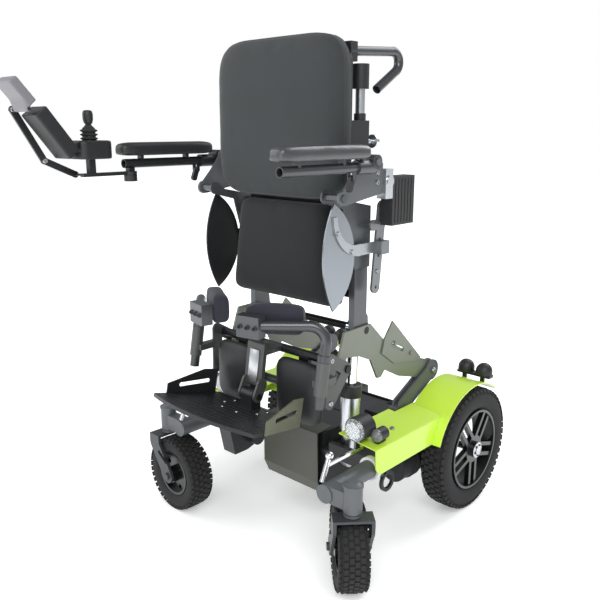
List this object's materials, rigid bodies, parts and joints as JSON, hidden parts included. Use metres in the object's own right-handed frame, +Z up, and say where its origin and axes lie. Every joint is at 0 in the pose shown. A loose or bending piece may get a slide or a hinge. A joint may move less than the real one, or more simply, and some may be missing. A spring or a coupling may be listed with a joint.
{
  "type": "standing wheelchair",
  "caption": "Powered standing wheelchair raised to its standing pose, with knee supports, footplate, armrests and joystick.",
  "frame": {"origin": "ground plane under the middle of the chair's bounding box", "axes": "+Z up, -Y the way the user faces, +X the user's left"},
  "size_m": [0.7965, 1.184, 1.288],
  "materials": {
    "black_frame": "satin",
    "grey_frame": "satin",
    "lime_paint": "gloss",
    "black_moulding": "matte",
    "grey_moulding": "gloss",
    "cover_fabric": "matte",
    "arm_skin": "satin",
    "tyre_rubber": "matte",
    "black_alloy": "gloss",
    "cast_grey": "satin",
    "bright_alloy": "satin",
    "chrome": "polished",
    "clear_lens": "clear",
    "yellow_cap": "gloss"
  },
  "bodies": {
    "base": {"base_frame": "black_frame", "front_cover": "black_moulding", "battery_box": "black_moulding", "batteries": "grey_moulding", "drive_units": "cast_grey", "fenders": "lime_paint", "front_lamps": "black_moulding", "headlight_lenses": "clear_lens", "tail_lamps": "black_moulding", "caster_beams": "grey_frame", "levelling_struts": "chrome", "lift_towers": "black_frame"},
    "left_drive": {"left_tyre": "tyre_rubber", "left_wheel": "black_alloy"},
    "right_drive": {"right_tyre": "tyre_rubber", "right_wheel": "black_alloy"},
    "left_swivel": {"left_caster_fork": "grey_frame"},
    "right_swivel": {"right_caster_fork": "grey_frame"},
    "left_caster": {"left_caster_tyre": "tyre_rubber", "left_caster_rim": "black_alloy"},
    "right_caster": {"right_caster_tyre": "tyre_rubber", "right_caster_rim": "black_alloy"},
    "lift": {"lift_plates": "grey_frame", "seat_shaft": "chrome"},
    "actuator": {"actuator_body": "bright_alloy"},
    "piston": {"actuator_rod": "chrome"},
    "seat": {"seat_chassis": "grey_frame", "seat_cushion": "cover_fabric", "guard_brackets": "bright_alloy", "left_guard": "grey_moulding", "right_guard": "black_moulding"},
    "back": {"back_panel": "black_moulding", "back_cushion": "cover_fabric", "back_tubes": "bright_alloy", "push_handles": "black_frame", "horn_brackets": "black_frame", "control_module": "black_moulding"},
    "left_arm": {"left_armrest": "grey_frame", "left_arm_pad": "arm_skin"},
    "right_arm": {"right_armrest": "grey_frame", "right_arm_pad": "arm_skin"},
    "left_cam": {"left_lever": "black_moulding"},
    "right_cam": {"right_lever": "black_moulding"},
    "joystick": {"joystick_arm": "black_frame", "joystick_unit": "black_moulding"},
    "gimbal": {"joystick_gimbal": "bright_alloy"},
    "stick": {"joystick_lever": "black_moulding"},
    "yellow_key": {"yellow_button": "yellow_cap"},
    "silver_key": {"silver_button": "bright_alloy"},
    "display": {"display_head": "grey_moulding"},
    "leg": {"leg_rest": "grey_frame", "calf_pads": "cover_fabric"},
    "left_knee": {"left_knee_arm": "grey_frame", "left_knee_pad": "cover_fabric"},
    "right_knee": {"right_knee_arm": "grey_frame", "right_knee_pad": "cover_fabric"},
    "foot": {"foot_rest": "grey_frame", "left_wing": "grey_moulding", "right_wing": "black_moulding"}
  },
  "joints": [
    {"name": "left_drive_spin", "type": "hinge", "parent": "base", "child": "left_drive", "pos_m": [0.3, 0.4125, 0.178], "axis": [1, 0, 0], "continuous": true},
    {"name": "left_swivel_turn", "type": "hinge", "parent": "base", "child": "left_swivel", "pos_m": [0.341, -0.1555, 0.218], "axis": [0, 0, 1], "continuous": true},
    {"name": "left_caster_roll", "type": "hinge", "parent": "left_swivel", "child": "left_caster", "pos_m": [0.30473, -0.12108, 0.107], "axis": [-0.6884, -0.7254, 0], "continuous": true},
    {"name": "right_drive_spin", "type": "hinge", "parent": "base", "child": "right_drive", "pos_m": [-0.3, 0.4125, 0.178], "axis": [1, 0, 0], "continuous": true},
    {"name": "right_swivel_turn", "type": "hinge", "parent": "base", "child": "right_swivel", "pos_m": [-0.341, -0.1555, 0.218], "axis": [0, 0, 1], "continuous": true},
    {"name": "right_caster_roll", "type": "hinge", "parent": "right_swivel", "child": "right_caster", "pos_m": [-0.29104, -0.15742, 0.107], "axis": [0.0384, 0.9993, 0], "continuous": true},
    {"name": "lift_raise", "type": "hinge", "parent": "base", "child": "lift", "pos_m": [0, 0.3815, 0.395], "axis": [1, 0, 0], "range_deg": [0, 21]},
    {"name": "actuator_tip", "type": "hinge", "parent": "base", "child": "actuator", "pos_m": [0.152, 0.0595, 0.215], "axis": [1, 0, 0], "range_deg": [0, 9.64]},
    {"name": "piston_stroke", "type": "slide", "parent": "actuator", "child": "piston", "axis": [0, 0.0443, 0.999], "range_m": [-0.1223, 0]},
    {"name": "seat_tilt", "type": "hinge", "parent": "lift", "child": "seat", "pos_m": [0, 0.0755, 0.576], "axis": [1, 0, 0], "range_deg": [-112, 0]},
    {"name": "back_recline", "type": "hinge", "parent": "seat", "child": "back", "pos_m": [0, -0.0845, 0.921], "axis": [1, 0, 0], "range_deg": [0, 91]},
    {"name": "leg_drop", "type": "hinge", "parent": "lift", "child": "leg", "pos_m": [0, -0.0175, 0.5], "axis": [1, 0, 0], "range_deg": [-22, 0]},
    {"name": "left_arm_flip", "type": "hinge", "parent": "back", "child": "left_arm", "pos_m": [0.265, -0.0125, 1], "axis": [1, 0, 0], "range_deg": [-90, 0]},
    {"name": "left_cam_turn", "type": "hinge", "parent": "left_arm", "child": "left_cam", "pos_m": [0.265, -0.0845, 0.965], "axis": [1, 0, 0], "range_deg": [-60, 20]},
    {"name": "right_arm_flip", "type": "hinge", "parent": "back", "child": "right_arm", "pos_m": [-0.265, -0.0125, 1], "axis": [1, 0, 0], "range_deg": [-90, 0]},
    {"name": "right_cam_turn", "type": "hinge", "parent": "right_arm", "child": "right_cam", "pos_m": [-0.265, -0.0845, 0.965], "axis": [1, 0, 0], "range_deg": [-60, 20]},
    {"name": "joystick_swing", "type": "hinge", "parent": "right_arm", "child": "joystick", "pos_m": [-0.265, -0.2905, 0.97], "axis": [0, 0, 1], "range_deg": [-80, 0]},
    {"name": "stick_fore", "type": "hinge", "parent": "joystick", "child": "gimbal", "pos_m": [-0.265, -0.3975, 1.024], "axis": [1, 0, 0], "range_deg": [-8, 8], "stiffness_Nm_per_rad": 0.6},
    {"name": "stick_side", "type": "hinge", "parent": "gimbal", "child": "stick", "pos_m": [-0.265, -0.3975, 1.024], "axis": [0, 1, 0], "range_deg": [-8, 8], "stiffness_Nm_per_rad": 0.6},
    {"name": "yellow_press", "type": "slide", "parent": "joystick", "child": "yellow_key", "axis": [0, -0.792, -0.6105], "range_m": [0, 0.001], "stiffness_N_per_m": 400},
    {"name": "silver_press", "type": "slide", "parent": "joystick", "child": "silver_key", "axis": [0, -0.792, -0.6105], "range_m": [0, 0.001], "stiffness_N_per_m": 400},
    {"name": "display_tip", "type": "hinge", "parent": "joystick", "child": "display", "pos_m": [-0.265, -0.5535, 1.112], "axis": [1, 0, 0], "range_deg": [-15, 15]},
    {"name": "left_knee_swing", "type": "hinge", "parent": "leg", "child": "left_knee", "pos_m": [0.226, -0.1455, 0.44], "axis": [0, 0.1744, 0.9847], "range_deg": [0, 90]},
    {"name": "right_knee_swing", "type": "hinge", "parent": "leg", "child": "right_knee", "pos_m": [-0.226, -0.1455, 0.44], "axis": [0, 0.1744, 0.9847], "range_deg": [-90, 0]},
    {"name": "foot_tilt", "type": "hinge", "parent": "leg", "child": "foot", "pos_m": [0, -0.1495, 0.418], "axis": [1, 0, 0], "range_deg": [-35, 5]}
  ],
  "couplings": [
    {"joint": "actuator_tip", "follows": "lift_raise", "ratio": 0.44469},
    {"joint": "piston_stroke", "follows": "lift_raise", "m_per_rad": -0.32833},
    {"joint": "seat_tilt", "follows": "lift_raise", "ratio": -5.2857},
    {"joint": "back_recline", "follows": "lift_raise", "ratio": 4.2857},
    {"joint": "leg_drop", "follows": "lift_raise", "ratio": -1}
  ]
}
